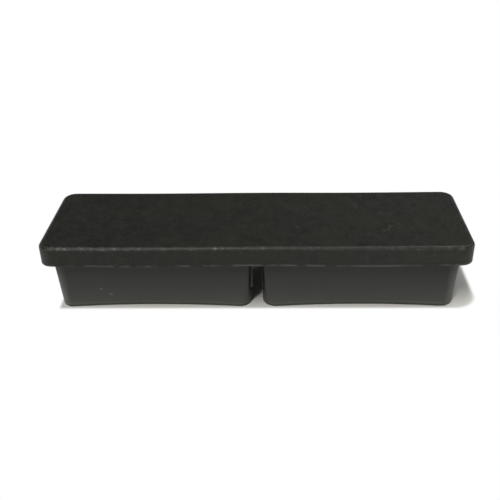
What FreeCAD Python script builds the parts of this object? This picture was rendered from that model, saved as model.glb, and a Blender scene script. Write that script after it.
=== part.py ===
import FreeCAD, Part

import math
import os

import Sketcher
from FreeCAD import Vector

# A rectangular end cap for the cut end of a flat rectangular tube with one inner web.
# It is one moulding: a flange that covers the end of the tube, and below it two hollow
# legs that plug into the two chambers of the tube, one on each side of its web.
# Frame: +X along the flange, +Y across it, +Z up. The origin is the middle of the
# cap's footprint, on the plane of the leg rims, so the cap stands on its legs.

# The driving sizes, in millimetres. Each row is a name, a value and what it is.
SIZES = (
    ("flange_length", 70.0, "flange along X, flush with the outside of the tube"),
    ("flange_width", 20.0, "flange along Y, flush with the outside of the tube"),
    ("flange_thickness", 3.4, "height of the flange edge"),
    ("flange_corner_radius", 2.2, "plan radius of the flange corners"),
    ("top_edge_radius", 0.6, "rounding round the top face"),
    ("roof_thickness", 2.0, "plastic left above each hollow leg"),
    ("tube_wall", 1.5, "wall of the tube that the cap closes"),
    ("end_clearance", 0.25, "play between a leg and the short walls of the tube"),
    ("face_clearance", 0.45, "play between a leg and the long walls of the tube"),
    ("web_thickness", 1.5, "inner web of the tube, which the slot straddles"),
    ("web_clearance", 0.15, "play between a leg and each side of the web"),
    ("leg_height", 9.3, "legs below the flange"),
    ("leg_wall", 1.4, "wall of the hollow legs"),
    ("leg_draft", 0.07, "how far each leg side has leaned in at the rim"),
    ("root_corner_radius", 0.5, "outer leg corners where they meet the flange"),
    ("rim_corner_radius", 1.75, "outer leg corners at the rim"),
    ("cavity_corner_radius", 0.6, "upright inner corners of the hollow legs"),
    ("long_wall_bow", 0.65, "how far the long leg walls pull in at the rim"),
    ("short_wall_bow", 0.15, "how far the short leg walls pull in at the rim"),
    ("cavity_roof_radius", 0.4, "fillet round the roof of each hollow leg"),
    ("rim_edge_radius", 0.25, "rounding of the outer rim edge"),
)

# Lengths that follow from the driving sizes, as expressions on the sheet.
HALF_SLOT = "(Sizes.web_thickness / 2 + Sizes.web_clearance)"
LEG_OUTER_END = "(Sizes.flange_length / 2 - Sizes.tube_wall - Sizes.end_clearance)"
LEG_CENTRE = f"(({LEG_OUTER_END} + {HALF_SLOT}) / 2)"
ROOT_LENGTH = f"({LEG_OUTER_END} - {HALF_SLOT})"
ROOT_WIDTH = "(Sizes.flange_width - 2 * Sizes.tube_wall - 2 * Sizes.face_clearance)"
RIM_LENGTH = f"({ROOT_LENGTH} - 2 * Sizes.leg_draft)"
RIM_WIDTH = f"({ROOT_WIDTH} - 2 * Sizes.leg_draft)"
TOP_HEIGHT = "(Sizes.leg_height + Sizes.flange_thickness)"
ROOF_HEIGHT = f"({TOP_HEIGHT} - Sizes.roof_thickness)"
RIM_BOWS = ("Sizes.long_wall_bow", "Sizes.short_wall_bow")

# A sketch's names for the points of an edge, and for the point at its origin.
START, END, CENTRE = 1, 2, 3
SKETCH_ORIGIN = (-1, 1)

# Two positions closer than this count as one when edges are picked.
NEAR = 1e-4


def make_sheet(doc):
    """Write the driving sizes to a spreadsheet, one aliased cell for each."""
    sheet = doc.addObject("Spreadsheet::Sheet", "Sizes")
    for row, (name, value, meaning) in enumerate(SIZES, start=1):
        sheet.set(f"A{row}", name)
        sheet.set(f"B{row}", str(value))
        sheet.set(f"C{row}", meaning)
        sheet.setAlias(f"B{row}", name)
    doc.recompute()
    return sheet


def number(sheet, expression):
    """What an expression on the sheet comes to now."""
    return float(sheet.evalExpression(expression.replace("Sizes.", "")))


def origin_plane(body, role):
    """The body's own origin plane that has this role, such as XY_Plane."""
    return next(plane for plane in body.Origin.OriginFeatures if plane.Role == role)


def new_sketch(body, name, centre, height):
    """A sketch parallel to XY whose own origin lies at X = centre and Z = height."""
    sketch = body.newObject("Sketcher::SketchObject", name)
    sketch.AttachmentSupport = [(origin_plane(body, "XY_Plane"), "")]
    sketch.MapMode = "FlatFace"
    sketch.setExpression("AttachmentOffset.Base.x", centre)
    sketch.setExpression("AttachmentOffset.Base.z", height)
    return sketch


def bind(sketch, constraint, name, expression):
    """Add a dimension to the sketch and drive it by an expression on the sheet."""
    index = sketch.addConstraint(constraint)
    sketch.renameConstraint(index, name)
    sketch.setExpression(f"Constraints.{name}", expression)


def bow_radius(length, corner_radius, bow):
    """The radius of a side that pulls in by bow midway and meets both corners smoothly."""
    reach = f"({length} / 2 - {corner_radius})"
    return f"(({reach} ^ 2 + {bow} ^ 2) / (2 * {bow}) - {corner_radius})"


def draw_outline(sheet, sketch, length, width, corner_radius, bows=None):
    """Draw a rectangle with rounded corners, its sides straight or bowed inwards.

    Edges 0 to 3 are the corners, counter-clockwise from the one at -X -Y, and edges
    4 to 7 are the sides, from the one at -Y: side i joins corner i to the next one.
    """
    radius = number(sheet, corner_radius)
    spans = (length, width, length, width)
    reaches = [number(sheet, span) / 2 - radius for span in spans]
    depths = [number(sheet, bow) for bow in bows] * 2 if bows else [0.0] * 4
    swings = [2 * math.atan2(depth, reach) for depth, reach in zip(depths, reaches)]
    up = Vector(0, 0, 1)

    for i, (x_side, y_side) in enumerate(((-1, -1), (1, -1), (1, 1), (-1, 1))):
        centre = Vector(x_side * reaches[0], y_side * reaches[1], 0)
        start = math.pi + i * math.pi / 2 - swings[i - 1]
        end = math.pi + (i + 1) * math.pi / 2 + swings[i]
        sketch.addGeometry(Part.ArcOfCircle(Part.Circle(centre, up, radius), start, end), False)

    for i in range(4):
        facing = (i + 1) * math.pi / 2
        outwards = Vector(-math.cos(facing), -math.sin(facing), 0)
        distance = reaches[i - 1] + radius
        if bows:
            curve = number(sheet, bow_radius(spans[i], corner_radius, bows[i % 2]))
            circle = Part.Circle(outwards * (distance - depths[i] + curve), up, curve)
            side = Part.ArcOfCircle(circle, facing - swings[i], facing + swings[i])
        else:
            half = Vector(-outwards.y, outwards.x, 0) * reaches[i]
            side = Part.LineSegment(outwards * distance - half, outwards * distance + half)
        sketch.addGeometry(side, False)

    # A bowed side is a counter-clockwise arc seen from outside, so it runs backwards.
    first, last = (END, START) if bows else (START, END)
    for i in range(4):
        following = (i + 1) % 4
        sketch.addConstraint(Sketcher.Constraint("Tangent", i, END, 4 + i, first))
        sketch.addConstraint(Sketcher.Constraint("Tangent", 4 + i, last, following, START))
        level = "Horizontal" if i % 2 == 0 else "Vertical"
        sketch.addConstraint(Sketcher.Constraint(level, i, CENTRE, following, CENTRE))
    for i in range(3):
        sketch.addConstraint(Sketcher.Constraint("Equal", i, i + 1))
    sketch.addConstraint(Sketcher.Constraint("Symmetric", 0, CENTRE, 2, CENTRE, *SKETCH_ORIGIN))

    bind(sketch, Sketcher.Constraint("Radius", 0, radius), "corner_radius", corner_radius)
    bind(
        sketch,
        Sketcher.Constraint("DistanceX", 0, CENTRE, 1, CENTRE, 2 * reaches[0]),
        "centres_along",
        f"{length} - 2 * {corner_radius}",
    )
    bind(
        sketch,
        Sketcher.Constraint("DistanceY", 1, CENTRE, 2, CENTRE, 2 * reaches[1]),
        "centres_across",
        f"{width} - 2 * {corner_radius}",
    )
    if bows:
        for side, name in ((0, "long_side"), (1, "short_side")):
            expression = bow_radius(spans[side], corner_radius, bows[side])
            curve = number(sheet, expression)
            bind(sketch, Sketcher.Constraint("Radius", 4 + side, curve), name, expression)
            sketch.addConstraint(Sketcher.Constraint("Equal", 4 + side, 6 + side))


def add_flange(sheet, body):
    """The plate that covers the end of the tube."""
    outline = new_sketch(body, "FlangeOutline", "0", "Sizes.leg_height")
    draw_outline(
        sheet, outline, "Sizes.flange_length", "Sizes.flange_width", "Sizes.flange_corner_radius"
    )
    flange = body.newObject("PartDesign::Pad", "Flange")
    flange.Profile = outline
    flange.setExpression("Length", "Sizes.flange_thickness")
    return flange


def add_loft(body, kind, name, upper, lower):
    """A loft between two sketches that adds or removes plastic."""
    loft = body.newObject(f"PartDesign::{kind}Loft", name)
    loft.Profile = upper
    loft.Sections = [lower]
    loft.Ruled = True
    return loft


def add_leg(sheet, body):
    """The leg at +X: straight-sided under the flange, bowed and rounder at its rim."""
    root = new_sketch(body, "LegRoot", LEG_CENTRE, "Sizes.leg_height")
    draw_outline(sheet, root, ROOT_LENGTH, ROOT_WIDTH, "Sizes.root_corner_radius")
    rim = new_sketch(body, "LegRim", LEG_CENTRE, "0")
    draw_outline(sheet, rim, RIM_LENGTH, RIM_WIDTH, "Sizes.rim_corner_radius", RIM_BOWS)
    return add_loft(body, "Additive", "Leg", root, rim)


def add_cavity(sheet, body):
    """The hollow of that leg, one wall inside it, and up into the flange."""
    inside = " - 2 * Sizes.leg_wall)"
    radius = "Sizes.cavity_corner_radius"
    roof = new_sketch(body, "CavityRoof", LEG_CENTRE, ROOF_HEIGHT)
    draw_outline(sheet, roof, f"({ROOT_LENGTH}{inside}", f"({ROOT_WIDTH}{inside}", radius)
    mouth = new_sketch(body, "CavityMouth", LEG_CENTRE, "0")
    draw_outline(
        sheet, mouth, f"({RIM_LENGTH}{inside}", f"({RIM_WIDTH}{inside}", radius, RIM_BOWS
    )
    return add_loft(body, "Subtractive", "Cavity", roof, mouth)


def add_mirror(body, features):
    """The same features again at -X, for the other chamber of the tube."""
    mirror = body.newObject("PartDesign::Mirrored", "OtherLeg")
    mirror.Originals = features
    mirror.MirrorPlane = (origin_plane(body, "YZ_Plane"), [""])
    body.Tip = mirror
    return mirror


def border_edges(shape, height):
    """The names of the edges round the flat faces at this height, holes left out."""
    borders = []
    for face in shape.Faces:
        box = face.BoundBox
        if abs(box.ZMin - height) < NEAR and abs(box.ZMax - height) < NEAR:
            borders += face.OuterWire.Edges
    return [
        f"Edge{index}"
        for index, edge in enumerate(shape.Edges, start=1)
        if any(edge.isSame(border) for border in borders)
    ]


def add_fillet(doc, sheet, body, name, height, radius):
    """Round the edges that border the flat faces at this height."""
    base = body.Tip
    edges = border_edges(base.Shape, number(sheet, height))
    fillet = body.newObject("PartDesign::Fillet", name)
    fillet.Base = (base, edges)
    fillet.setExpression("Radius", radius)
    doc.recompute()
    return fillet


def check(doc, body):
    """Stop if a feature failed or the solid isn't one whole valid solid."""
    for item in doc.Objects:
        broken = [state for state in item.State if state in ("Invalid", "Error")]
        if broken:
            raise RuntimeError(f"{item.Name} is {', '.join(broken)}")
    shape = body.Shape
    if shape.isNull() or not shape.isValid() or len(shape.Solids) != 1:
        raise RuntimeError(f"{body.Label} isn't one valid solid")


def main():
    doc = FreeCAD.newDocument("RectangularEndCap")
    sheet = make_sheet(doc)
    body = doc.addObject("PartDesign::Body", "EndCap")
    body.Label = "end_cap"

    add_flange(sheet, body)
    leg = add_leg(sheet, body)
    doc.recompute()
    solid_leg = body.Shape.Volume
    cavity = add_cavity(sheet, body)
    doc.recompute()
    if body.Shape.Volume >= solid_leg:
        raise RuntimeError("the cavity took nothing from the leg")
    add_mirror(body, [leg, cavity])
    doc.recompute()
    add_fillet(doc, sheet, body, "CavityRoofFillet", ROOF_HEIGHT, "Sizes.cavity_roof_radius")
    add_fillet(doc, sheet, body, "RimFillet", "0", "Sizes.rim_edge_radius")
    add_fillet(doc, sheet, body, "TopFillet", TOP_HEIGHT, "Sizes.top_edge_radius")
    check(doc, body)

    os.makedirs("parts", exist_ok=True)
    body.Shape.exportStep(f"parts/{body.Label}.step")


main()
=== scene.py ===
import logging
import math
from dataclasses import dataclass, field, replace
from enum import Enum
from functools import reduce
from typing import Any, Mapping, Sequence, Union

import bmesh
import bpy
from mathutils import Matrix, Vector, noise
from mathutils.geometry import delaunay_2d_cdt


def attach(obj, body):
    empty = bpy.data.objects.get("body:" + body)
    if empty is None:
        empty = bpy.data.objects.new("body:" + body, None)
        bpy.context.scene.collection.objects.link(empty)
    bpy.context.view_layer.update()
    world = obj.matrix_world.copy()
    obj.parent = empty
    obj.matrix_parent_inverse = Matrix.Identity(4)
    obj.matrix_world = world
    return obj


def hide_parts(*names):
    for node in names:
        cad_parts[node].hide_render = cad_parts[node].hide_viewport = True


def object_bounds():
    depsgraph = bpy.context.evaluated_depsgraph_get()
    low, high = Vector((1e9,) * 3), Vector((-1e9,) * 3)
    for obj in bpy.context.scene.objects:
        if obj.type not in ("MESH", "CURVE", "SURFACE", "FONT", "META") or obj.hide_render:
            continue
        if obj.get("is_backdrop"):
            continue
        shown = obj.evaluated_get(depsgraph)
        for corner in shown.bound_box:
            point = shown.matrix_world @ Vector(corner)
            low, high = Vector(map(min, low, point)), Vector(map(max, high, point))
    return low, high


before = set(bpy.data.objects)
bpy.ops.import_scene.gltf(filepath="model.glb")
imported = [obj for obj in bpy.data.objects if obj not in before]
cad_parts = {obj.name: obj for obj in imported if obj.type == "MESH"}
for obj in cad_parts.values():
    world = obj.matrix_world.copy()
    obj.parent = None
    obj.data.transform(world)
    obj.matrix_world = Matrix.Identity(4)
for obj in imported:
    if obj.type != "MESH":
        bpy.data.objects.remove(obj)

# A rectangular end cap for a flat tube with one inner web: a flange with two hollow legs,
# moulded in one piece from matt black plastic, on a plain pale table. Sizes of the cap are
# in millimetres, as fields of the classes below, and its mesh is in metres.

LOG = logging.getLogger("end_cap")
METRES = 0.001

Colour = tuple[float, float, float]
Number = Union["Signal", float]


class Mark(Enum):
    """What a point of the moulding's mesh is marked with, as a weight from 0 to 1."""

    # Besides wear, the edge, parting line and rim marks carry painted highlight; the foot mark carries
    # painted light from the table and the shaded mark painted shade.
    WORN_AND_LIT_EDGE = "worn_and_lit_edge"
    PARTING_LINE = "parting_line"
    RIM_EDGE = "rim_edge"
    LEG_WALL = "leg_wall"
    FOOT = "foot"
    SHADED = "shaded"


class Signal:
    """A number that varies over a surface, so that node maths reads as Python maths."""

    def __init__(self, wiring: "Wiring", socket: bpy.types.NodeSocket) -> None:
        """Wraps an output socket of the given wiring."""
        self.wiring = wiring
        self.socket = socket

    def combined(self, operation: str, first: Number, second: Number = 0.0) -> "Signal":
        """Adds one Math node.

        Args:
            operation: The Math node's operation.
            first: Its first value.
            second: Its second value, where it has one.

        Returns:
            The node's result.
        """
        node = self.wiring.node("ShaderNodeMath", {"operation": operation}, {0: first, 1: second})
        return Signal(self.wiring, node.outputs[0])

    def __add__(self, other: Number) -> "Signal":
        """This signal plus another."""
        return self.combined("ADD", self, other)

    def __radd__(self, other: Number) -> "Signal":
        """A number plus this signal."""
        return self.combined("ADD", other, self)

    def __sub__(self, other: Number) -> "Signal":
        """This signal less another."""
        return self.combined("SUBTRACT", self, other)

    def __rsub__(self, other: Number) -> "Signal":
        """A number less this signal."""
        return self.combined("SUBTRACT", other, self)

    def __mul__(self, other: Number) -> "Signal":
        """This signal times another."""
        return self.combined("MULTIPLY", self, other)

    def __rmul__(self, other: Number) -> "Signal":
        """A number times this signal."""
        return self.combined("MULTIPLY", other, self)

    def __pow__(self, other: Number) -> "Signal":
        """This signal to a power."""
        return self.combined("POWER", self, other)

    def __abs__(self) -> "Signal":
        """This signal without its sign."""
        return self.combined("ABSOLUTE", self)

    def at_least(self, other: Number) -> "Signal":
        """The larger of this signal and another."""
        return self.combined("MAXIMUM", self, other)

    def at_most(self, other: Number) -> "Signal":
        """The smaller of this signal and another."""
        return self.combined("MINIMUM", self, other)

    def ramp(self, low: float, high: float) -> "Signal":
        """Eases from 0 where this signal is low to 1 where it is high.

        Args:
            low: The value that gives 0.
            high: The value that gives 1, which may be the smaller one.

        Returns:
            The eased weight.
        """
        node = self.wiring.node(
            "ShaderNodeMapRange",
            {"interpolation_type": "SMOOTHSTEP"},
            {"Value": self, "From Min": low, "From Max": high},
        )
        return Signal(self.wiring, node.outputs["Result"])


class Wiring:
    """The nodes of one material or of the world."""

    def __init__(self, tree: bpy.types.NodeTree) -> None:
        """Empties the node tree that it is given."""
        self.tree = tree
        tree.nodes.clear()

    def node(
        self,
        kind: str,
        settings: Mapping[str, Any] | None = None,
        inputs: Mapping[str | int, Any] | None = None,
    ) -> bpy.types.Node:
        """Adds a node: its settings first, and then what goes into its sockets.

        Args:
            kind: The node's type.
            settings: The node's own properties, by name.
            inputs: Plain values, signals or output sockets, by socket name or number.

        Returns:
            The new node.
        """
        made = self.tree.nodes.new(kind)
        for name, value in (settings or {}).items():
            setattr(made, name, value)
        for key, value in (inputs or {}).items():
            source = value.socket if isinstance(value, Signal) else value
            if isinstance(source, bpy.types.NodeSocket):
                self.tree.links.new(source, made.inputs[key])
            else:
                made.inputs[key].default_value = source
        return made

    def signal(self, node: bpy.types.Node, output: str | int = 0) -> Signal:
        """One output of a node, as a signal."""
        return Signal(self, node.outputs[output])

    def place(self) -> bpy.types.NodeSocket:
        """The point of the surface in the cap's own frame.

        Returns:
            The point, in millimetres.
        """
        here = self.node("ShaderNodeTexCoord").outputs["Object"]
        scaled = self.node(
            "ShaderNodeVectorMath", {"operation": "SCALE"}, {0: here, "Scale": 1 / METRES}
        )
        return scaled.outputs["Vector"]

    def axes(self, place: bpy.types.NodeSocket) -> tuple[Signal, Signal, Signal]:
        """The three parts of a point."""
        parts = self.node("ShaderNodeSeparateXYZ", {}, {0: place})
        return self.signal(parts, "X"), self.signal(parts, "Y"), self.signal(parts, "Z")

    def cloud(self, place: bpy.types.NodeSocket, grain: float, detail: float = 2.0) -> Signal:
        """Soft noise between 0 and 1.

        Args:
            place: The point of the surface, in millimetres.
            grain: The size of one patch, in millimetres.
            detail: How many finer layers it holds.

        Returns:
            The noise.
        """
        node = self.node(
            "ShaderNodeTexNoise", {}, {"Vector": place, "Scale": 1 / grain, "Detail": detail}
        )
        return self.signal(node, "Fac")

    def mark(self, mark: Mark) -> Signal:
        """The weight that the mesh carries for this mark."""
        return self.signal(self.node("ShaderNodeAttribute", {"attribute_name": mark.value}), "Fac")

    def near(self, place: bpy.types.NodeSocket, spot: "Spot") -> Signal:
        """A soft weight inside a small spot of the surface.

        Args:
            place: The point of the surface, in millimetres.
            spot: The spot.

        Returns:
            1 near the spot's middle, and 0 from its radius outwards.
        """
        node = self.node(
            "ShaderNodeVectorMath", {"operation": "DISTANCE"}, {0: place, 1: spot.centre}
        )
        return self.signal(node, "Value").ramp(spot.radius, spot.radius * 0.3)

    def mixed(self, share: Number, first: Any, second: Any) -> bpy.types.NodeSocket:
        """A colour between two.

        Args:
            share: How much of the second colour shows.
            first: The first colour, or a socket that gives it.
            second: The second colour, or a socket that gives it.

        Returns:
            The colour's socket.
        """
        colours = [(*c, 1.0) if isinstance(c, tuple) else c for c in (first, second)]
        node = self.node(
            "ShaderNodeMix", {"data_type": "RGBA"}, {0: share, 6: colours[0], 7: colours[1]}
        )
        return node.outputs[2]

    def shaded(self, colour: Any, amount: Signal) -> bpy.types.NodeSocket:
        """A colour made lighter or darker by a signal around 1."""
        node = self.node("ShaderNodeVectorMath", {"operation": "SCALE"}, {0: colour, "Scale": amount})
        return node.outputs["Vector"]

    def seen_directly(self) -> Signal:
        """Whether a ray shows the surroundings: from the camera, mirrored or let through.

        Returns:
            1 for such a ray, and 0 for any other.
        """
        path = self.node("ShaderNodeLightPath")
        rays = [
            self.signal(path, f"Is {name} Ray") for name in ("Camera", "Glossy", "Transmission")
        ]
        return (rays[0] + rays[1] + rays[2]).at_most(1.0)


@dataclass(frozen=True)
class Spot:
    """A small round mark on the plastic: its centre and radius in millimetres, and how light it is."""

    centre: Colour
    radius: float
    strength: float


@dataclass(frozen=True)
class MouldedPlastic:
    """Matt black plastic with a fine mould grain, pale wear at its edges and painted light: highlights
    on edges, lines, rims and leg corners, lighter feet and slot walls, a lighter flange towards +X, and
    painted shade beside the slot and above the lip.
    """

    olive: Colour = (0.0094, 0.0097, 0.0052)
    slate: Colour = (0.0085, 0.0087, 0.0072)
    leg_grey: Colour = (0.0382, 0.0387, 0.0366)
    # painted light: the legs' grey turns paler towards the foot, standing in for light from the table.
    painted_foot_light: Colour = (0.0745, 0.0750, 0.0682)
    # painted shade: black put beside the slot and on the ribs.
    painted_slot_shade: Colour = (0.0040, 0.0042, 0.0040)
    patch_size: float = 11.0
    haze_size: float = 1.7
    # painted highlight on the legs' outer corners, calmed near the foot.
    corner_highlight_strength: float = 1.9
    foot_calm: float = 0.7
    # painted light: the flange is lighter towards +X, and its sides lighter than its top.
    light_gradient: tuple[float, float] = (0.91, 0.19)
    side_light: tuple[float, float] = (0.38, 0.42)
    # painted shade: a dark line just above the lip towards +X.
    lip_shade: float = 0.45
    slot_middle: float = 0.06
    slot_wall: tuple[float, float] = (0.93, 1.00)
    slot_glint: float = 0.35
    pale_wear_and_highlight: Colour = (0.072, 0.073, 0.068)
    roughness: float = 0.50
    gloss: float = 0.27
    grain_size: float = 0.50
    dot_grain: float = 0.42
    grain_depth: float = 0.010
    scuffs: tuple[Spot, ...] = (
        # on the top
        Spot((21.8, -3.9, 12.7), 0.34, 0.55),
        Spot((22.2, -3.0, 12.7), 0.42, 0.50),
        Spot((21.0, -4.3, 12.7), 0.48, 0.40),
        Spot((23.2, -1.0, 12.7), 0.36, 0.22),
        Spot((23.7, -1.8, 12.7), 0.40, 0.25),
        Spot((23.9, -2.4, 12.7), 0.36, 0.25),
        Spot((25.5, -3.9, 12.7), 0.30, 0.25),
        Spot((17.1, 4.7, 12.7), 0.38, 0.40),
        Spot((7.0, -3.2, 12.7), 0.34, 0.40),
        Spot((1.0, -3.0, 12.7), 0.28, 0.25),
        Spot((9.5, 5.5, 12.7), 0.28, 0.25),
        # on the left leg's front wall
        Spot((-26.0, -7.8, 3.5), 0.36, 1.00),
        Spot((-24.5, -7.7, 2.35), 0.36, 1.00),
        Spot((-24.3, -7.7, 2.1), 0.24, 0.50),
        # on the front edge, as nicks
        Spot((-31.4, -9.8, 12.5), 0.45, 1.15),
        Spot((-30.4, -9.8, 12.5), 0.45, 1.10),
        Spot((-27.6, -9.8, 12.5), 0.55, 0.60),
        Spot((-26.1, -9.8, 12.5), 0.45, 0.65),
        Spot((-22.4, -9.8, 12.5), 0.50, 0.75),
        Spot((-18.4, -9.8, 12.5), 0.35, 0.65),
        Spot((-14.5, -9.8, 12.5), 0.40, 0.60),
        Spot((-6.4, -9.8, 12.5), 0.50, 1.05),
        Spot((-5.2, -9.8, 12.5), 0.40, 0.65),
        Spot((1.2, -9.8, 12.5), 0.45, 0.60),
        Spot((30.5, -9.8, 12.5), 0.50, 0.70),
        Spot((32.7, -9.9, 12.4), 0.40, 0.85),
    )

    def flange_colour(self, wiring: Wiring, place: bpy.types.NodeSocket) -> bpy.types.NodeSocket:
        """The flange's black, olive and slate in patches, with painted light making it lighter towards
        +X and on its sides than on its top, and a painted shade line above the lip towards +X.

        Args:
            wiring: The material's nodes.
            place: The point of the surface, in millimetres.

        Returns:
            The flange's colour.
        """
        along, _, level = wiring.axes(place)
        # painted light: lighter towards +X, and on the sides more than on the top.
        side = self.side_light[0] + self.side_light[1] * along.ramp(8.0, 28.0)
        painted_light = self.light_gradient[0] + self.light_gradient[1] * along.ramp(-32.0, 36.0)
        painted_light = painted_light + side * level.ramp(12.5, 12.1)
        patches = wiring.cloud(place, self.patch_size, 2.0).ramp(0.38, 0.62)
        black = wiring.mixed(patches, self.olive, self.slate)
        return wiring.shaded(black, painted_light * (1.0 - self.lip_shade * wiring.mark(Mark.SHADED)))

    def leg_colour(self, wiring: Wiring, place: bpy.types.NodeSocket) -> bpy.types.NodeSocket:
        """The legs' grey, with painted light making it paler towards the foot and on the slot's walls,
        painted highlight on the outer corners and as a line above the rim, and painted shade as black
        beside the slot and a dark line at the very bottom.

        Args:
            wiring: The material's nodes.
            place: The point of the surface, in millimetres.

        Returns:
            The legs' colour.
        """
        foot = wiring.mark(Mark.FOOT)
        along, across, height = wiring.axes(place)
        # painted highlight on the legs' outer corners.
        outer_corner = abs(along).ramp(31.2, 32.7) * abs(across).ramp(6.2, 7.2)
        corner_highlight = outer_corner * self.corner_highlight_strength * (1.0 - self.foot_calm * foot)
        # painted highlight as a pale line just above the rim, and painted shade as a dark line at the
        # very bottom.
        rim_highlight_and_shade = height.ramp(0.36, 0.54) * height.ramp(0.95, 0.70) * 0.34
        rim_highlight_and_shade = rim_highlight_and_shade - height.ramp(0.40, 0.22) * 0.25
        from_slot = abs(along - self.slot_middle)
        wall, behind = self.slot_wall
        # painted light: the slot's walls are made lighter than the rest of the leg.
        glint = from_slot.ramp(behind, wall) * self.slot_glint
        # painted light: paler towards the foot.
        grey = wiring.mixed(foot, self.leg_grey, self.painted_foot_light)
        grey = wiring.shaded(grey, 1.0 + corner_highlight + rim_highlight_and_shade + glint)
        # painted shade: black on the corners beside the slot above the foot, and on the shaded ribs.
        beside_slot = from_slot.ramp(wall, behind) * from_slot.ramp(1.41, 1.30)
        slot_shade_weight = (beside_slot * height.ramp(1.2, 5.0)).at_least(wiring.mark(Mark.SHADED))
        return wiring.mixed(slot_shade_weight, grey, self.painted_slot_shade)

    def edge_wear_and_highlight(self, wiring: Wiring, place: bpy.types.NodeSocket) -> Signal:
        """How much the edges, the parting line, the legs' rims and stray flecks are made pale, by wear
        and by painted highlight on the edges, the parting line and the rims.

        Args:
            wiring: The material's nodes.
            place: The point of the surface, in millimetres.

        Returns:
            The pale weight, from 0 to 1.
        """
        streaks = wiring.cloud(place, 1.4, 3.0).ramp(0.36, 0.66)
        nicks = wiring.cloud(place, 0.75, 2.0).ramp(0.50, 0.68)
        along = wiring.axes(place)[0]
        # painted highlight: the edge is made paler towards both ends of the flange, over its wear.
        handled_and_lit = 0.70 + 0.65 * along.ramp(-12.0, -32.0) + 0.30 * along.ramp(10.0, 28.0)
        worn_and_lit = wiring.mark(Mark.WORN_AND_LIT_EDGE) * (0.12 + 0.16 * streaks + 0.28 * nicks) * handled_and_lit
        broken = wiring.cloud(place, 2.6, 2.0).ramp(0.36, 0.60) * 0.95
        rim_wear_and_highlight = 0.10 + 0.35 * wiring.cloud(place, 1.1, 3.0).ramp(0.40, 0.66)
        flecks = wiring.cloud(place, 0.50, 1.0).ramp(0.64, 0.76) * 0.15
        flecks = flecks * (1.0 - 0.8 * wiring.mark(Mark.LEG_WALL))
        # The parting line and the legs' rim edges are made pale: a moulding line and wear, with painted
        # highlight.
        lines = wiring.mark(Mark.PARTING_LINE) * broken + wiring.mark(Mark.RIM_EDGE) * rim_wear_and_highlight
        return (worn_and_lit + lines + flecks).at_most(1.0)

    def make(self) -> bpy.types.Material:
        """Builds the material.

        Returns:
            The material, ready for a piece's first slot.
        """
        material = bpy.data.materials.new("moulded_plastic")
        material.use_nodes = True
        wiring = Wiring(material.node_tree)
        place = wiring.place()
        level = wiring.axes(place)[2]
        on_leg = wiring.mark(Mark.LEG_WALL)

        haze = wiring.cloud(place, self.haze_size, 3.0)
        grain = wiring.cloud(place, self.grain_size, 2.0)
        mottled = (1.0 - 0.90 * on_leg) * (1.0 - 0.30 * level.ramp(12.5, 12.1))
        tone = 1.0 + mottled * (1.9 * (haze - 0.5) + 1.6 * (grain - 0.5))
        colour = wiring.mixed(
            on_leg, self.flange_colour(wiring, place), self.leg_colour(wiring, place)
        )
        colour = wiring.shaded(colour, tone)

        sparkle = 0.4 + wiring.cloud(place, self.dot_grain, 2.0)
        dots = reduce(
            Signal.at_least,
            [wiring.near(place, spot) * (spot.strength * sparkle) for spot in self.scuffs],
        ).at_most(1.0)
        pale_wear_and_highlight = self.edge_wear_and_highlight(wiring, place).at_least(dots)
        colour = wiring.mixed(pale_wear_and_highlight, colour, self.pale_wear_and_highlight)
        colour = wiring.shaded(colour, 1.0 + dots * on_leg * 0.5)

        relief = (grain * 0.7 + wiring.cloud(place, 1.1, 2.0) * 0.8) * (1.0 - 0.8 * on_leg)
        bump = wiring.node(
            "ShaderNodeBump",
            {},
            {"Strength": 1.0, "Distance": self.grain_depth * METRES, "Height": relief},
        )
        shader = wiring.node(
            "ShaderNodeBsdfPrincipled",
            {},
            {
                "Base Color": colour,
                "Roughness": self.roughness + 0.16 * (haze - 0.5) - 0.08 * pale_wear_and_highlight,
                "Normal": bump.outputs["Normal"],
                "Specular IOR Level": self.gloss,
            },
        )
        wiring.node("ShaderNodeOutputMaterial", {}, {"Surface": shader.outputs["BSDF"]})
        return material


@dataclass(frozen=True)
class Divisions:
    """Into how many steps an outline's long sides, short sides and corners are cut."""

    along: int
    across: int
    corner: int


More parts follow.
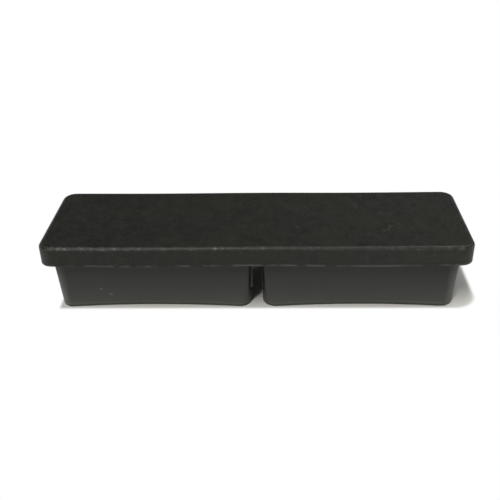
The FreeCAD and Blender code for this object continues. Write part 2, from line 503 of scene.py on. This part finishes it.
@dataclass(frozen=True)
class Outline:
    """A rectangle with rounded corners, its sides straight or pulled in midway, in millimetres."""

    length: float
    width: float
    corner_radius: float
    long_bow: float = 0.0
    short_bow: float = 0.0

    def inset(self, distance: float) -> "Outline":
        """Draws the outline that runs inside this one.

        Args:
            distance: How far inside it runs, in millimetres.

        Returns:
            The smaller outline.
        """
        return replace(
            self,
            length=self.length - 2 * distance,
            width=self.width - 2 * distance,
            corner_radius=max(self.corner_radius - distance, 0.05),
        )

    def points(self, cuts: Divisions) -> list[Vector]:
        """Walks once round the outline, counter-clockwise from the corner at -X -Y.

        Args:
            cuts: How finely each part of it is cut.

        Returns:
            Points on the plane, each corner followed by the inner points of the next side.
        """
        radius = self.corner_radius
        reaches = (self.length / 2 - radius, self.width / 2 - radius)
        bows = (self.long_bow, self.short_bow)
        swings = [2 * math.atan2(bow, reach) for bow, reach in zip(bows, reaches)]
        ring: list[Vector] = []
        for i, (x_side, y_side) in enumerate(((-1, -1), (1, -1), (1, 1), (-1, 1))):
            own, other = i % 2, (i + 1) % 2
            hub = Vector((x_side * reaches[0], y_side * reaches[1]))
            start = math.pi + i * math.pi / 2 - swings[other]
            end = math.pi + (i + 1) * math.pi / 2 + swings[own]
            for k in range(cuts.corner + 1):
                angle = start + (end - start) * k / cuts.corner
                ring.append(hub + radius * Vector((math.cos(angle), math.sin(angle))))

            turn = i * math.pi / 2
            forwards = Vector((math.cos(turn), math.sin(turn)))
            outwards = Vector((math.sin(turn), -math.cos(turn)))
            steps = cuts.along if own == 0 else cuts.across
            for k in range(1, steps):
                share = 2 * k / steps - 1
                along, out = share * reaches[own], reaches[other] + radius
                if bows[own]:
                    curve = (reaches[own] ** 2 + bows[own] ** 2) / (2 * bows[own]) - radius
                    along = curve * math.sin(share * swings[own])
                    out += curve * (1 - math.cos(share * swings[own])) - bows[own]
                ring.append(forwards * along + outwards * out)
        return ring


class Skin:
    """The closed surface of a moulding, laid down ring by ring."""

    def __init__(self) -> None:
        """Starts with no points."""
        self.points: list[Vector] = []
        self.faces: list[tuple[int, ...]] = []
        self.marks: dict[Mark, list[float]] = {mark: [] for mark in Mark}

    def add(
        self, points: Sequence[Vector], marks: Mapping[Mark, float | Sequence[float]] | None = None
    ) -> list[int]:
        """Adds points in millimetres.

        Args:
            points: Where they are.
            marks: What they are marked with: one weight for all, or one for each point.

        Returns:
            Their numbers in the skin.
        """
        first = len(self.points)
        self.points.extend(points)
        for mark in Mark:
            weight = (marks or {}).get(mark, 0.0)
            weights = [weight] * len(points) if isinstance(weight, (int, float)) else weight
            self.marks[mark].extend(weights)
        return list(range(first, len(self.points)))

    def join(self, one: Sequence[int], other: Sequence[int]) -> None:
        """Lays a band of four-sided faces between two rings of as many points.

        Args:
            one: The points of the first ring.
            other: The points of the next ring.
        """
        for k in range(len(one)):
            following = (k + 1) % len(one)
            self.faces.append((one[k], one[following], other[following], other[k]))

    def stack(self, rings: Sequence[Sequence[int]]) -> None:
        """Joins each ring to the next."""
        for one, other in zip(rings, rings[1:]):
            self.join(one, other)

    def close(self, ring: Sequence[int], cuts: Divisions, crown: float = 0.0) -> None:
        """Fills a ring with a grid of four-sided faces.

        Args:
            ring: The ring's points, in the order that an outline gives.
            cuts: How that outline was cut. Its corner count is even.
            crown: How far the middle stands above the ring, in millimetres.
        """
        wide, deep = cuts.along + cuts.corner, cuts.across + cuts.corner
        count, shift = len(ring), cuts.corner // 2
        round_it = [ring[(k + shift) % count] for k in range(count)]
        grid = [[0] * (deep + 1) for _ in range(wide + 1)]
        for i in range(wide + 1):
            grid[i][0] = round_it[i]
            grid[i][deep] = round_it[2 * wide + deep - i]
        for j in range(deep + 1):
            grid[wide][j] = round_it[wide + j]
            grid[0][j] = round_it[-j]
        at = self.points
        corners = [at[grid[i][j]] for i in (0, wide) for j in (0, deep)]
        for i in range(1, wide):
            for j in range(1, deep):
                u, v = i / wide, j / deep
                sides = at[grid[i][0]] * (1 - v) + at[grid[i][deep]] * v
                ends = at[grid[0][j]] * (1 - u) + at[grid[wide][j]] * u
                plane = (
                    (corners[0] * (1 - v) + corners[1] * v) * (1 - u)
                    + (corners[2] * (1 - v) + corners[3] * v) * u
                )
                rise = Vector((0, 0, crown * 16 * u * (1 - u) * v * (1 - v)))
                grid[i][j] = self.add([sides + ends - plane + rise])[0]
        for i in range(wide):
            for j in range(deep):
                self.faces.append(
                    (grid[i][j], grid[i + 1][j], grid[i + 1][j + 1], grid[i][j + 1])
                )

    def span(self, border: Sequence[int], holes: Sequence[Sequence[int]]) -> None:
        """Fills the flat part between an outer ring and the rings of its holes.

        Args:
            border: The outer ring.
            holes: The inner rings, each of which stays open.
        """
        loops = [list(border), *[list(hole) for hole in holes]]
        numbers = [n for loop in loops for n in loop]
        flat = [self.points[n].to_2d() for n in numbers]
        edges, first = [], 0
        for loop in loops:
            edges += [(first + k, first + (k + 1) % len(loop)) for k in range(len(loop))]
            first += len(loop)
        owner = [index for index, loop in enumerate(loops) for _ in loop]
        found = delaunay_2d_cdt(flat, edges, [], 1, 1e-7)
        back = [sources[0] for sources in found[3]]
        for face in found[2]:
            corners = [back[n] for n in face]
            owners = {owner[n] for n in corners}
            if len(owners) > 1 or owners == {0}:
                self.faces.append(tuple(numbers[n] for n in corners))

    def to_object(self, name: str, crease: float) -> bpy.types.Object:
        """Makes the object, with smooth shading broken at its creases.

        Args:
            name: The piece's name.
            crease: The angle in degrees from which an edge stays sharp.

        Returns:
            The object, in the scene's collection.
        """
        mesh = bpy.data.meshes.new(name)
        mesh.from_pydata([p * METRES for p in self.points], [], self.faces)
        for mark in Mark:
            layer = mesh.attributes.new(mark.value, "FLOAT", "POINT")
            layer.data.foreach_set("value", self.marks[mark])
        work = bmesh.new()
        work.from_mesh(mesh)
        bmesh.ops.recalc_face_normals(work, faces=work.faces)
        work.to_mesh(mesh)
        work.free()
        mesh.shade_smooth()
        mesh.set_sharp_from_angle(angle=math.radians(crease))
        made = bpy.data.objects.new(name, mesh)
        bpy.context.scene.collection.objects.link(made)
        return made


@dataclass
class Flange:
    """The plate that covers the tube's end, with a rounded edge made pale by wear and painted
    highlight, and a fine moulding line.
    """

    length: float = 70.0
    width: float = 20.0
    thickness: float = 3.4
    underside: float = 9.3
    corner_radius: float = 2.2
    edge_radius: float = 0.6
    lip_radius: float = 0.12
    flash_depth: float = 0.015
    flash_height: float = 0.16
    top_sink: float = 0.05
    top_dish: float = 0.04
    lip_sink: float = 0.20
    back_pull: float = 0.03
    waver: float = 0.015
    corner_rub_and_highlight: float = 0.5
    lip_fade: float = 0.12
    side_margins: tuple[float, float] = (0.30, 0.25)
    top_insets: tuple[float, ...] = (0.75, 0.95, 1.2, 1.55)
    lip_steps: int = 4
    side_steps: int = 8
    edge_rub_and_highlight: tuple[float, ...] = (0.0, 0.6, 1.6, 1.4, 0.6, 0.5, 1.1, 1.3, 0.4)
    lip_shade_start: float = 10.0
    lip_shade_fade: float = 10.0
    cuts: Divisions = Divisions(along=132, across=34, corner=12)

    def outline(self) -> Outline:
        """The plate seen from above."""
        return Outline(self.length, self.width, self.corner_radius)

    def settled(self, point: Vector) -> Vector:
        """Where a point ends up after the plastic has shrunk over the two hollows.

        Args:
            point: The point as drawn.

        Returns:
            The point on the cooled moulding.
        """
        over_hollow = math.sin(2 * math.pi * point.x / self.length) ** 2
        depth = (self.underside + self.thickness - point.z) / self.thickness
        across = 2 * point.y / self.width
        sink = self.top_sink * (1 + 0.5 * (1 - across**2)) * (1 - depth) + self.lip_sink * depth
        pull = self.back_pull * max(across, 0.0) ** 4
        return point - Vector((0, pull, sink)) * over_hollow

    def ring(self, inset: float, height: float, roughened: float) -> list[Vector]:
        """One ring round the plate.

        Args:
            inset: How far inside the outline it runs.
            height: Its height.
            roughened: How much the edge wavers there, as a share of the full amount.

        Returns:
            The ring's points.
        """
        outer = self.outline().inset(inset).points(self.cuts)
        inner = self.outline().inset(inset + 1.0).points(self.cuts)
        ring = []
        for point, inwards in zip(outer, inner):
            seat = Vector((point.x, point.y, height))
            slow = noise.noise(seat * 0.22 + Vector((3.1, 0, 0)))
            quick = noise.noise(seat * 0.9)
            waver = self.waver * roughened * (0.5 + 0.35 * slow + 0.15 * quick)
            moved = point.lerp(inwards, max(waver, 0.0))
            ring.append(self.settled(Vector((moved.x, moved.y, height))))
        return ring

    def handled_and_lit(self, ring: Sequence[Vector], share: float) -> list[float]:
        """How much each point of a ring is made pale, by wear and painted highlight, at the plate's
        corners.

        Args:
            ring: The ring's points.
            share: The weight at the very corners.

        Returns:
            A weight for each point.
        """
        reach = self.corner_radius
        weights = []
        for point in ring:
            past = [
                min(max((abs(at) - side / 2 + 1.2 * reach) / reach, 0.0), 1.0)
                for at, side in ((point.x, self.length), (point.y, self.width))
            ]
            weights.append(share * past[0] * past[1])
        return weights

    def build(self, skin: Skin) -> list[int]:
        """Lays the plate's top and sides.

        Args:
            skin: The skin that the plate is part of.

        Returns:
            The ring at the plate's underside, which stays open.
        """
        top = self.underside + self.thickness
        rings = []
        for k in range(self.lip_steps + 1):
            turn = k / self.lip_steps * math.pi / 2
            inset = self.lip_radius * (1 - math.sin(turn))
            height = self.underside + self.lip_radius * (1 - math.cos(turn))
            # painted highlight: the lip's rings carry the paler parting line.
            weight = {Mark.PARTING_LINE: k / self.lip_steps}
            rings.append(skin.add(self.ring(inset, height, 0.0), weight))
        lip_top = self.underside + self.flash_height
        for inset, height, roughened, weight in (
            (0.0, lip_top, 0.0, 1.0),
            (self.flash_depth, lip_top + self.lip_fade, 0.3, 0.8),
        ):
            rings.append(skin.add(self.ring(inset, height, roughened), {Mark.PARTING_LINE: weight}))
        low, high = lip_top + self.side_margins[0], top - self.edge_radius - self.side_margins[1]
        for k in range(self.side_steps + 1):
            level = low + (high - low) * k / self.side_steps
            ring = self.ring(self.flash_depth, level, 0.5)
            marks = {Mark.WORN_AND_LIT_EDGE: self.handled_and_lit(ring, self.corner_rub_and_highlight)}
            if k == 0:
                # painted shade: the lowest side ring is darkened towards +X, as a dark line above the
                # lip.
                past = [(point.x - self.lip_shade_start) / self.lip_shade_fade for point in ring]
                marks[Mark.SHADED] = [min(max(share, 0.0), 1.0) for share in past]
            rings.append(skin.add(ring, marks))
        for k, weight in enumerate(self.edge_rub_and_highlight):
            turn = k / (len(self.edge_rub_and_highlight) - 1) * math.pi / 2
            inset = self.flash_depth + (self.edge_radius - self.flash_depth) * (1 - math.cos(turn))
            height = top - self.edge_radius * (1 - math.sin(turn))
            rings.append(skin.add(self.ring(inset, height, 1.0 - k / 12), {Mark.WORN_AND_LIT_EDGE: weight}))
        for inset in self.top_insets:
            rings.append(skin.add(self.ring(inset, top, 0.0)))
        skin.stack(rings)
        skin.close(rings[-1], self.cuts, crown=-self.top_dish)
        return rings[0]


@dataclass
class Leg:
    """A hollow leg, open below, which fills one chamber of the tube."""

    centre: float
    height: float = 9.3
    length: float = 32.35
    width: float = 16.1
    draft: float = 0.07
    wall: float = 1.4
    root_radius: float = 0.36
    rim_radius: float = 1.75
    foot_height: float = 5.5
    long_bow: float = 0.65
    short_bow: float = 0.15
    rim_edge: float = 0.25
    mouth_edge: float = 0.10
    hollow_radius: float = 0.6
    hollow_height: float = 10.7
    roof_fillet: float = 0.4
    waver: float = 0.02
    cuts: Divisions = Divisions(along=72, across=34, corner=10)

    def root(self) -> Outline:
        """The outside of the leg where it meets the flange."""
        return Outline(self.length, self.width, self.root_radius)

    def rim(self) -> Outline:
        """Draws the outside of the leg at its open end.

        Returns:
            The outline, its walls pulled in midway.
        """
        return Outline(
            self.length - 2 * self.draft,
            self.width - 2 * self.draft,
            self.rim_radius,
            self.long_bow,
            self.short_bow,
        )

    def roof(self) -> Outline:
        """The top of the hollow."""
        return replace(self.root().inset(self.wall), corner_radius=self.hollow_radius)

    def mouth(self) -> Outline:
        """The open end of the hollow."""
        return replace(self.rim().inset(self.wall), corner_radius=self.hollow_radius)

    def ring(self, low: Outline, high: Outline, share: float, height: float) -> list[Vector]:
        """A ring between two outlines.

        Args:
            low: The lower outline.
            high: The upper outline.
            share: How far it is from the lower to the upper one.
            height: Its height.

        Returns:
            The ring's points.
        """
        ring = []
        for below, above in zip(low.points(self.cuts), high.points(self.cuts)):
            at = below.lerp(above, share)
            ring.append(Vector((at.x + self.centre, at.y, height)))
        return ring

    def marked(self, ring: Sequence[Vector], rim: float) -> dict[Mark, float | list[float]]:
        """The marks of a ring on the outside of the leg.

        Args:
            ring: The ring's points.
            rim: How near it is to the rim, from 0 to 1.

        Returns:
            The weight of each mark.
        """
        # The foot weights carry painted light from the table: paler towards the rim.
        foot = [max(0.0, 1 - point.z / self.foot_height) ** 1.8 for point in ring]
        return {Mark.RIM_EDGE: rim, Mark.LEG_WALL: 1.0, Mark.FOOT: foot}

    def wavered(self, ring: Sequence[Vector], amount: float) -> list[Vector]:
        """Moves a ring's points a little in or out, as moulded walls are never quite flat.

        Args:
            ring: The ring's points.
            amount: How much they move, as a share of the full amount.

        Returns:
            The moved points.
        """
        middle = Vector((self.centre, 0, 0))
        moved = []
        for point in ring:
            away = (point - middle).to_2d().normalized()
            step = self.waver * amount * noise.noise(point * 0.21 + Vector((0, 7.0, 0)))
            moved.append(point + Vector((away.x, away.y, 0)) * step)
        return moved

    def build(self, skin: Skin) -> list[int]:
        """Lays the leg's walls, rim and hollow.

        Args:
            skin: The skin that the leg is part of.

        Returns:
            The ring where the leg meets the flange, which stays open.
        """
        root, rim, roof, mouth = self.root(), self.rim(), self.roof(), self.mouth()
        rings, levels, inside = [], 20, {Mark.LEG_WALL: 1.0}
        for k in range(levels + 1):
            height = self.height + (self.rim_edge - self.height) * k / levels
            ring = self.ring(rim, root, height / self.height, height)
            swell = math.sin(math.pi * k / levels)
            # painted highlight with wear: the rim's lowest band is made paler.
            weight = max(0.0, 1 - (height - self.rim_edge) / 0.6)
            ring = self.wavered(ring, swell)
            rings.append(skin.add(ring, self.marked(ring, 0.6 * weight)))
        for k in range(1, 6):
            turn = k / 5 * math.pi / 2
            inset = self.rim_edge * (1 - math.cos(turn))
            height = self.rim_edge * (1 - math.sin(turn))
            ring = self.ring(rim.inset(inset), root.inset(inset), height / self.height, height)
            rings.append(skin.add(ring, self.marked(ring, 1.0 if k < 5 else 0.4)))
        for share in (0.5, 1.0):
            inset = self.rim_edge + (self.wall - self.rim_edge - self.mouth_edge) * share
            shape = replace(rim.inset(inset), corner_radius=self.hollow_radius + self.mouth_edge)
            if share < 1:
                shape = replace(shape, corner_radius=(self.rim_radius + self.hollow_radius) / 2)
            rings.append(skin.add(self.ring(shape, shape, 0.0, 0.0), inside))
        straight = self.hollow_height - self.roof_fillet
        for k in range(15):
            height = self.mouth_edge + (straight - self.mouth_edge) * k / 14
            ring = self.ring(mouth, roof, height / self.hollow_height, height)
            rings.append(skin.add(ring, inside))
        for k in range(1, 6):
            turn = k / 5 * math.pi / 2
            inset = self.roof_fillet * (1 - math.cos(turn))
            height = straight + self.roof_fillet * math.sin(turn)
            shape = roof.inset(inset)
            rings.append(skin.add(self.ring(shape, shape, 0.0, height), inside))
        skin.stack(rings)
        skin.close(rings[-1], self.cuts)
        return rings[0]


@dataclass
class CrushRib:
    """A hair-thin upright rib on a leg's slot wall, which bites on the tube's web."""

    wall: float
    across: float
    proud: float
    # How much painted shade darkens the rib.
    shaded: float
    foot: float = 3.35
    head: float = 9.4
    rooted: float = 0.25
    thickness: float = 0.30
    cuts: Divisions = Divisions(along=2, across=2, corner=4)

    def build(self, skin: Skin) -> None:
        """Lays the rib, sunk into the leg's wall and the flange.

        Args:
            skin: The skin that the rib is part of.
        """
        side = math.copysign(1.0, self.wall)
        depth = self.proud + self.rooted
        middle = Vector((self.wall + side * (depth / 2 - self.proud), self.across))
        rings = []
        for height, inset in ((self.foot, 0.08), (self.foot + 0.08, 0.0), (self.head, 0.0)):
            shape = Outline(depth, self.thickness, 0.06).inset(inset)
            points = [
                Vector((middle.x + at.x, middle.y + at.y, height)) for at in shape.points(self.cuts)
            ]
            rings.append(skin.add(points, {Mark.LEG_WALL: 1.0, Mark.SHADED: self.shaded}))
        skin.stack(rings)
        skin.close(rings[0], self.cuts)
        skin.close(rings[-1], self.cuts)


@dataclass
class EndCap:
    """The whole cap: one moulding with a flange and two legs."""

    flange: Flange = field(default_factory=Flange)
    legs: tuple[Leg, Leg] = field(
        default_factory=lambda: (
            Leg(centre=-17.005, length=32.33, rim_radius=1.95),
            Leg(centre=17.085, length=32.25, rim_radius=2.25),
        )
    )
    rib_offset: float = 7.05
    rib_proud: tuple[float, float] = (0.26, 0.08)
    # painted shade darkens each leg's ribs, the +X leg's the most.
    rib_shade: tuple[float, float] = (0.42, 0.9)
    finish: MouldedPlastic = field(default_factory=MouldedPlastic)
    crease: float = 38.0

    def build(self) -> bpy.types.Object:
        """Builds the moulding.

        Returns:
            The cap as one closed mesh.
        """
        skin = Skin()
        border = self.flange.build(skin)
        roots = [leg.build(skin) for leg in self.legs]
        skin.span(border, roots)
        for leg, proud, shaded in zip(self.legs, self.rib_proud, self.rib_shade):
            wall = math.copysign(abs(leg.centre) - leg.length / 2, leg.centre)
            for across in (-self.rib_offset, self.rib_offset):
                CrushRib(wall, across, proud, shaded).build(skin)
        return skin.to_object("end_cap_moulding", self.crease)

    def dress(self, cap: bpy.types.Object) -> None:
        """Gives the moulding its plastic, and lets it stand for the solid.

        Args:
            cap: The moulding.
        """
        cap.data.materials.append(self.finish.make())
        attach(cap, "root")
        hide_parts("end_cap")


@dataclass
class Tabletop:
    """A plain pale table, which turns plain white a little way from the cap.

    Each of left, right, front and back is where the table starts to whiten on that side, and
    over how many millimetres. The corner at the front right is rounded by corner millimetres.
    Behind the cap, the two ends whiten more and more slowly.
    """

    side: float = 8.0
    drop: float = 0.00002
    paint: Colour = (0.590, 0.585, 0.550)
    left: tuple[float, float] = (-33.0, 0.8)
    right: tuple[float, float] = (36.75, 0.9)
    front: tuple[float, float] = (-7.9, 1.0)
    back: tuple[float, float] = (9.9, 9.0)
    corner: float = 3.5
    behind: float = 5.0
    softening: float = 0.7
    # glimmer is painted light: a faint glow of the table as seen, which lifts its deepest shade.
    glimmer: float = 0.005

    def build(self) -> bpy.types.Object:
        """Lays the table under the cap's legs.

        Returns:
            The table.
        """
        half = self.side / 2
        mesh = bpy.data.meshes.new("tabletop")
        around = ((-half, -half), (half, -half), (half, half), (-half, half))
        mesh.from_pydata([(x, y, -self.drop) for x, y in around], [], [(0, 1, 2, 3)])
        top = bpy.data.objects.new("tabletop", mesh)
        bpy.context.scene.collection.objects.link(top)
        top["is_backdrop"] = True
        return top

    def dress(self, top: bpy.types.Object) -> None:
        """Paints the table. Its own shading, with the cap's shadow, shows near the cap.

        Args:
            top: The table.
        """
        material = bpy.data.materials.new("pale_paint")
        material.use_nodes = True
        wiring = Wiring(material.node_tree)
        x, y, _ = wiring.axes(wiring.place())
        past_right = (x - self.right[0]) * (1 / self.right[1])
        past_left = (self.left[0] - x) * (1 / self.left[1])
        past_back = (y - self.back[0]) * (1 / self.back[1])
        past_front = (self.front[0] - y) * (1 / self.front[1])
        past_corner = (
            (x - (self.right[0] - self.corner)).at_least(0.0) ** 2.0
            + ((self.front[0] + self.corner) - y).at_least(0.0) ** 2.0
        ) ** 0.5 - self.corner
        spread = (1.0 + (y - self.behind) * self.softening).at_least(1.0) ** -1.0
        sideways = past_right.at_least(past_left).at_least(0.0) * spread
        across = past_back.at_least(past_front).at_least(0.0)
        away = ((sideways * sideways + across * across) ** 0.5).at_least(past_corner * spread)
        # painted light: the table as seen never falls below the glimmer.
        white = away.ramp(0.0, 1.0).at_least(self.glimmer) * wiring.seen_directly()
        paint = wiring.node("ShaderNodeBsdfDiffuse", {}, {"Color": (*self.paint, 1.0)})
        glow = wiring.node("ShaderNodeEmission", {}, {"Color": (1, 1, 1, 1), "Strength": 1.0})
        above = wiring.node(
            "ShaderNodeMixShader", {}, {0: white, 1: paint.outputs[0], 2: glow.outputs[0]}
        )
        below = wiring.node("ShaderNodeBsdfTransparent")
        side = wiring.signal(wiring.node("ShaderNodeNewGeometry"), "Backfacing")
        surface = wiring.node(
            "ShaderNodeMixShader", {}, {0: side, 1: above.outputs[0], 2: below.outputs[0]}
        )
        wiring.node("ShaderNodeOutputMaterial", {}, {"Surface": surface.outputs[0]})
        top.data.materials.append(material)


@dataclass
class Room:
    """The dim, even light of the room, behind a low white backdrop."""

    glow: Colour = (0.101, 0.101, 0.102)
    backdrop: tuple[float, float] = (0.10, 0.22)

    def dress(self) -> None:
        """Lights the world."""
        world = bpy.data.worlds.new("room")
        bpy.context.scene.world = world
        world.use_nodes = True
        wiring = Wiring(world.node_tree)
        path = wiring.node("ShaderNodeLightPath")
        direction = wiring.node("ShaderNodeTexCoord").outputs["Generated"]
        rise = wiring.signal(wiring.node("ShaderNodeSeparateXYZ", {}, {0: direction}), "Z")
        low = abs(rise).ramp(self.backdrop[1], self.backdrop[0])
        mirrored = wiring.signal(path, "Is Glossy Ray") + wiring.signal(path, "Is Transmission Ray")
        white = (wiring.signal(path, "Is Camera Ray") + mirrored * low).at_most(1.0)
        colour = wiring.mixed(white, self.glow, (1.0, 1.0, 1.0))
        glow = wiring.node("ShaderNodeBackground", {}, {"Color": colour, "Strength": 1.0})
        wiring.node("ShaderNodeOutputWorld", {}, {"Surface": glow.outputs[0]})


@dataclass
class Lamp:
    """A flat lamp that faces the cap, its place given by direction and distance."""

    name: str
    azimuth: float
    elevation: float
    distance: float
    width: float
    height: float
    power: float
    colour: Colour = (1.0, 1.0, 1.0)

    def build(self) -> bpy.types.Object:
        """Hangs the lamp.

        Returns:
            The lamp, its long side upright as seen from the cap.
        """
        data = bpy.data.lights.new(self.name, "AREA")
        data.shape = "RECTANGLE"
        data.size, data.size_y = self.width, self.height
        data.energy, data.color = self.power, self.colour
        lamp = bpy.data.objects.new(self.name, data)
        turn, rise = math.radians(self.azimuth), math.radians(self.elevation)
        towards = Vector(
            (math.sin(turn) * math.cos(rise), -math.cos(turn) * math.cos(rise), math.sin(rise))
        )
        lamp.location = towards * self.distance
        lamp.rotation_mode = "QUATERNION"
        lamp.rotation_quaternion = towards.to_track_quat("Z", "Y")
        lamp.visible_camera = False
        bpy.context.scene.collection.objects.link(lamp)
        return lamp


@dataclass
class Viewpoint:
    """The camera at the photograph's angle: place in metres, angles in degrees, lens in millimetres."""

    place: tuple[float, float, float] = (0.0029556, -0.1062967, 0.0704494)
    pitch: float = 31.0890
    yaw: float = -1.4024
    roll: float = -0.9201
    lens: float = 51.328
    sensor: float = 36.0
    shift: float = -0.01800

    def build(self) -> bpy.types.Object:
        """Sets up the camera.

        Returns:
            The camera, which the scene then looks through.
        """
        pitch, yaw, roll = (math.radians(angle) for angle in (self.pitch, self.yaw, self.roll))
        forward = Vector(
            (math.sin(yaw) * math.cos(pitch), math.cos(yaw) * math.cos(pitch), -math.sin(pitch))
        )
        level = Vector((math.cos(yaw), -math.sin(yaw), 0))
        upright = level.cross(forward)
        right = level * math.cos(roll) + upright * math.sin(roll)
        up = upright * math.cos(roll) - level * math.sin(roll)
        data = bpy.data.cameras.new("viewpoint")
        data.sensor_width, data.lens, data.shift_x = self.sensor, self.lens, self.shift
        data.clip_start, data.clip_end = 0.005, 20.0
        camera = bpy.data.objects.new("viewpoint", data)
        camera.matrix_world = Matrix.Translation(self.place) @ Matrix(
            (right, up, -forward)
        ).transposed().to_4x4()
        bpy.context.scene.collection.objects.link(camera)
        bpy.context.scene.camera = camera
        return camera


def corners() -> list[list[float]]:
    """The lowest and highest corner of the shown object, as plain numbers."""
    return [list(corner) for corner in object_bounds()]


def main() -> None:
    """Builds the cap and its studio, and reports each piece."""
    logging.basicConfig(level=logging.INFO, format="%(name)s: %(message)s")
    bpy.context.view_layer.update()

    cap = EndCap()
    moulding = cap.build()
    cap.dress(moulding)
    LOG.info("%s: %d faces", moulding.name, len(moulding.data.polygons))

    table = Tabletop()
    table.dress(table.build())
    Room().dress()
    for lamp in (
        Lamp(
            "tube_lamp", azimuth=-21.0, elevation=60.0, distance=1.0, width=0.12, height=0.52,
            power=7.5, colour=(1.0, 0.985, 0.96),
        ),
        Lamp(
            "ceiling_panel", azimuth=135.0, elevation=66.0, distance=1.2, width=0.8, height=0.7,
            power=5.2, colour=(0.97, 0.985, 1.0),
        ),
    ):
        lamp.build()
        LOG.info("%s: %.1f W", lamp.name, lamp.power)
    LOG.info("camera: lens %.2f mm", Viewpoint().build().data.lens)

    bpy.context.scene.view_settings.view_transform = "Standard"


if __name__ == "__main__":
    main()
